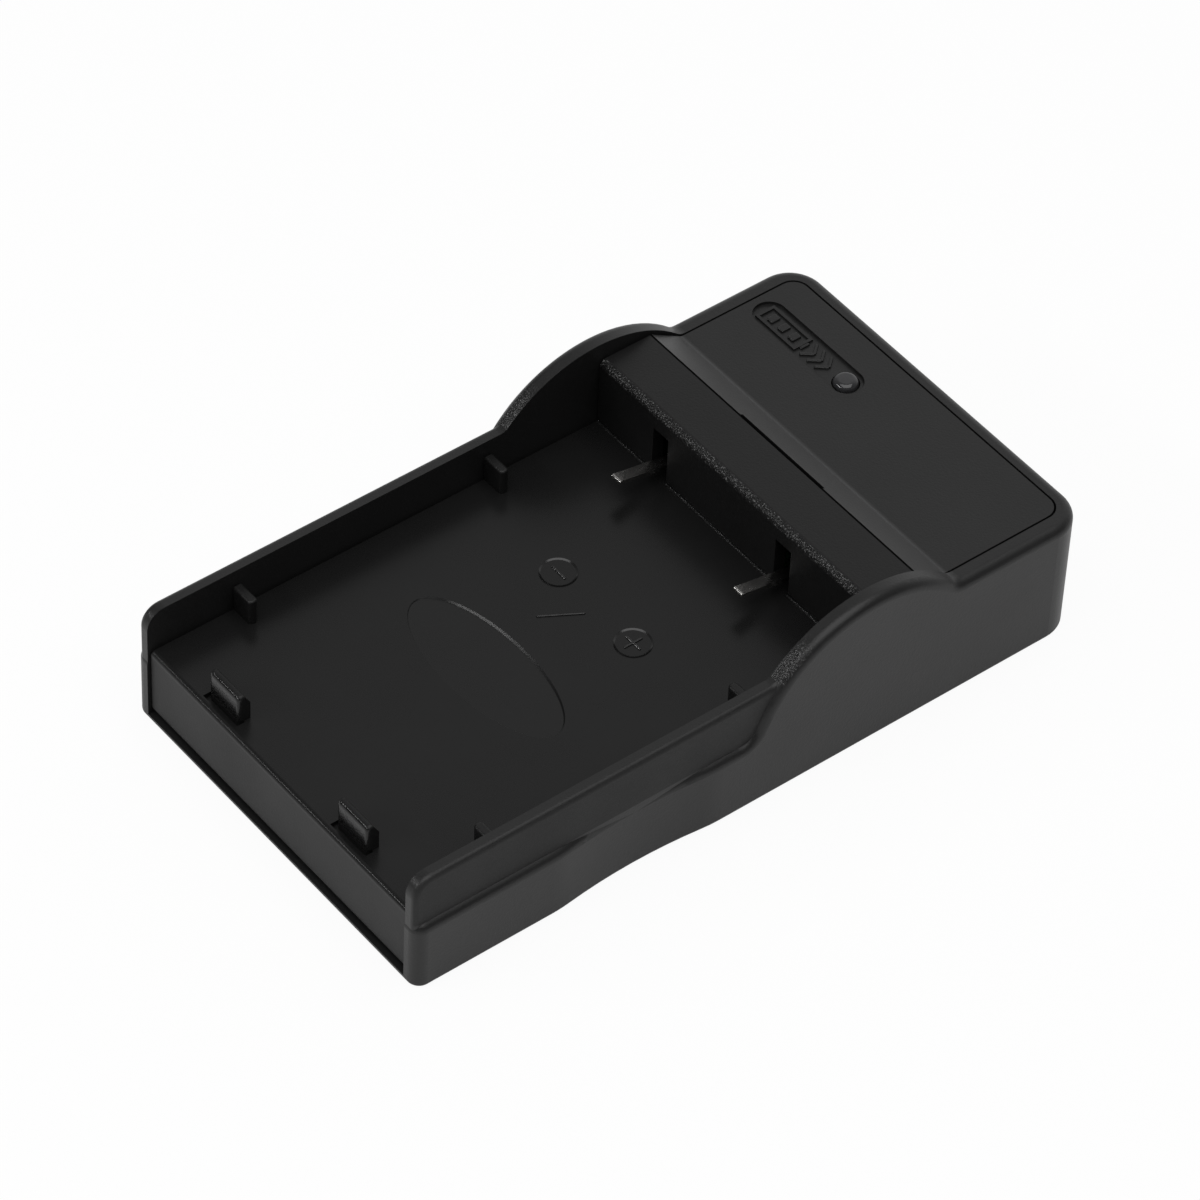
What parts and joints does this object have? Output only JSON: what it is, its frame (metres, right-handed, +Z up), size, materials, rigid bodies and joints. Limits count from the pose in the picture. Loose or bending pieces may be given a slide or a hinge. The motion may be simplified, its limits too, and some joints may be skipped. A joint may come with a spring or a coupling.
{
  "type": "camera battery charger",
  "caption": "Low black plastic cradle that charges a camera battery: open tray with guide ribs and stop tabs, blade contacts, arched shoulders, LED window and rear USB inlet.",
  "frame": {"origin": "middle of the underside", "axes": "+X to the right as seen from the open front end, +Y from the open front end to the LED end, +Z up"},
  "size_m": [0.0526, 0.095, 0.0227],
  "materials": {
    "case_plastic": "black, fine spark-eroded texture",
    "tray_plastic": "black, satin",
    "cover_plastic": "black, fine spark-eroded texture",
    "lens_plastic": "smoky, polished",
    "board_laminate": "green solder mask",
    "contact_nickel": "nickel plated",
    "screw_steel": "dark zinc",
    "socket_steel": "tin plated",
    "socket_plastic": "black",
    "pin_gold": "gold flash",
    "led_body": "white, clear cup",
    "chip_epoxy": "moulded epoxy",
    "tinned_leads": "tinned",
    "coil_ferrite": "sintered, grey",
    "can_aluminium": "bare can",
    "tan_ceramic": "sintered, tan",
    "dark_ceramic": "glazed, black"
  },
  "bodies": {
    "root": {"case": "case_plastic", "battery_plate": "tray_plastic", "rear_cover": "cover_plastic", "led_lens": "lens_plastic", "circuit_board": "board_laminate", "negative_contact": "contact_nickel", "positive_contact": "contact_nickel", "base_screws": "screw_steel", "board_screws": "screw_steel", "usb_shell": "socket_steel", "usb_tongue": "socket_plastic", "usb_pins": "pin_gold", "status_led": "led_body", "controller_chip": "chip_epoxy", "controller_leads": "tinned_leads", "power_inductor": "coil_ferrite", "rectifier_diode": "chip_epoxy", "capacitor_base": "socket_plastic", "capacitor_can": "can_aluminium", "ceramic_capacitors": "tan_ceramic", "chip_resistors": "dark_ceramic"}
  },
  "joints": []
}
